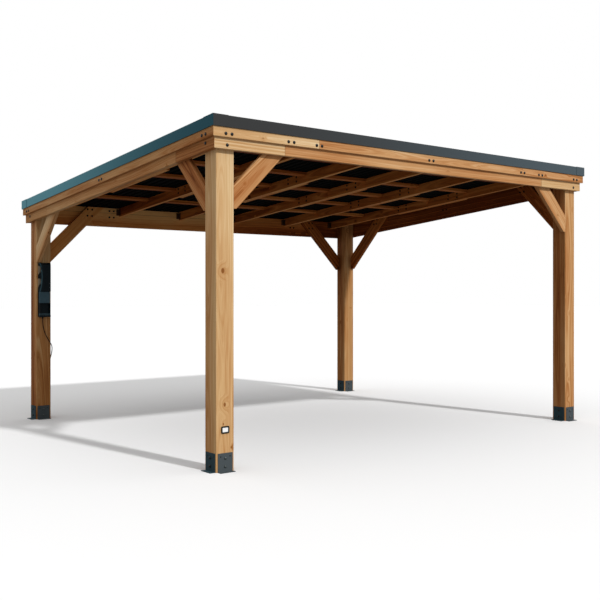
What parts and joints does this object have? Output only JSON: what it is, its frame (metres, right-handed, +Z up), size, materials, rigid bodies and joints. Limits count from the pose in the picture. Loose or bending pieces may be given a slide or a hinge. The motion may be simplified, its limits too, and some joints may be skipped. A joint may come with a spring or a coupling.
{
  "type": "single-slope timber gazebo",
  "caption": "Open timber gazebo with four posts, knee braces, a single-slope ribbed steel roof and a power box on one post.",
  "frame": {"origin": "on the ground at the middle of the plan, measured without the cord", "axes": "+Z up; the front, where the roof is highest, faces -Y; +X runs to the right along the front"},
  "size_m": [4.2496, 3.7248, 2.4678],
  "materials": {
    "angle_steel": "black powder coat",
    "box_back_plastic": "grey-brown moulded plastic",
    "box_panel_plastic": "dark blue-grey moulded plastic",
    "box_plastic": "black moulded plastic",
    "cord_jacket": "black cord jacket",
    "foot_steel": "black powder coat",
    "inner_timber": "planed softwood, warmer and a little darker",
    "plate_frame": "black moulded frame",
    "plate_insert": "plain pale insert",
    "roof_steel": "matt dark coated steel, ribbed",
    "timber": "planed softwood, pale, oiled",
    "trim_steel": "satin charcoal coated steel"
  },
  "bodies": {
    "root": {"box_back": "box_back_plastic", "box_hood": "box_plastic", "box_panel": "box_panel_plastic", "box_tray": "box_plastic", "cord_coil": "cord_jacket", "cord_gland": "cord_jacket", "cord_plug": "cord_jacket", "corner_caps": "trim_steel", "foot_bracket_front_left": "foot_steel", "foot_bracket_front_right": "foot_steel", "foot_bracket_rear_left": "foot_steel", "foot_bracket_rear_right": "foot_steel", "front_band": "timber", "front_beam": "timber", "front_brace_left": "timber", "front_brace_right": "timber", "front_trim": "trim_steel", "left_band": "timber", "left_beam": "timber", "left_brace_front": "timber", "left_brace_rear": "timber", "left_trim": "trim_steel", "post_front_left": "timber", "post_front_right": "timber", "post_plate": "plate_frame", "post_plate_face": "plate_insert", "post_rear_left": "timber", "post_rear_right": "timber", "power_cord": "cord_jacket", "purlin_row_1": "inner_timber", "purlin_row_2": "inner_timber", "purlin_row_3": "inner_timber", "purlin_row_4": "inner_timber", "purlin_row_5": "inner_timber", "rafter_1": "inner_timber", "rafter_2": "inner_timber", "rafter_3": "inner_timber", "rafter_4": "inner_timber", "rafter_5": "inner_timber", "rafter_6": "inner_timber", "rafter_angles": "angle_steel", "rear_band": "timber", "rear_beam": "timber", "rear_brace_left": "timber", "rear_brace_right": "timber", "rear_trim": "trim_steel", "right_band": "timber", "right_beam": "timber", "right_brace_front": "timber", "right_brace_rear": "timber", "right_trim": "trim_steel", "roof_sheet_1": "roof_steel", "roof_sheet_2": "roof_steel", "roof_sheet_3": "roof_steel", "roof_sheet_4": "roof_steel"}
  },
  "joints": []
}
